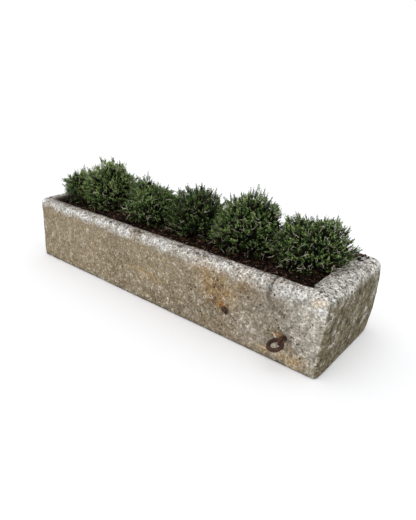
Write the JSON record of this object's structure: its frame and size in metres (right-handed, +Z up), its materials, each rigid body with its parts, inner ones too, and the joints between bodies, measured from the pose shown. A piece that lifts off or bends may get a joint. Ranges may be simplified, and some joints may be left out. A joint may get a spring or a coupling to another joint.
{
  "type": "planted stone trough",
  "caption": "Long hewn limestone trough with a hinged iron tether ring, planted with a row of small evergreen shrubs in bark mulch.",
  "frame": {"origin": "middle of the underside of the block, on the ground", "axes": "+X runs along the trough towards the end with the ring, -Y is the front face that carries the ring, +Z is up"},
  "size_m": [2.3094, 0.7921, 0.7435],
  "materials": {
    "limestone": "matte",
    "rusty_iron": "satin",
    "old_lead": "matte",
    "terracotta": "matte",
    "gravel": "matte",
    "fleece": "matte",
    "compost": "matte",
    "bark_mulch": "matte",
    "roots": "matte",
    "twig_bark": "matte",
    "leaves": "satin"
  },
  "bodies": {
    "trough": {"trough_body": "limestone", "ring_eye": "rusty_iron", "eye_lead": "old_lead", "broken_eye_stub": "rusty_iron", "stub_lead": "old_lead", "drain_crock_1": "terracotta", "drain_crock_2": "terracotta", "drainage_gravel": "gravel", "filter_fleece": "fleece", "compost": "compost", "bark_mulch": "bark_mulch", "root_ball_1": "roots", "root_ball_2": "roots", "root_ball_3": "roots", "root_ball_4": "roots", "root_ball_5": "roots", "root_ball_6": "roots", "shrub_stems_1": "twig_bark", "shrub_stems_2": "twig_bark", "shrub_stems_3": "twig_bark", "shrub_stems_4": "twig_bark", "shrub_stems_5": "twig_bark", "shrub_stems_6": "twig_bark", "shrub_crown_1": "leaves", "shrub_crown_2": "leaves", "shrub_crown_3": "leaves", "shrub_crown_4": "leaves", "shrub_crown_5": "leaves", "shrub_crown_6": "leaves"},
    "ring": {"tether_ring": "rusty_iron"}
  },
  "joints": [
    {"name": "ring_swing", "type": "hinge", "parent": "trough", "child": "ring", "pos_m": [0.905, -0.37368, 0.145], "axis": [0.9397, -0.342, 0], "range_deg": [-100, 70]}
  ]
}
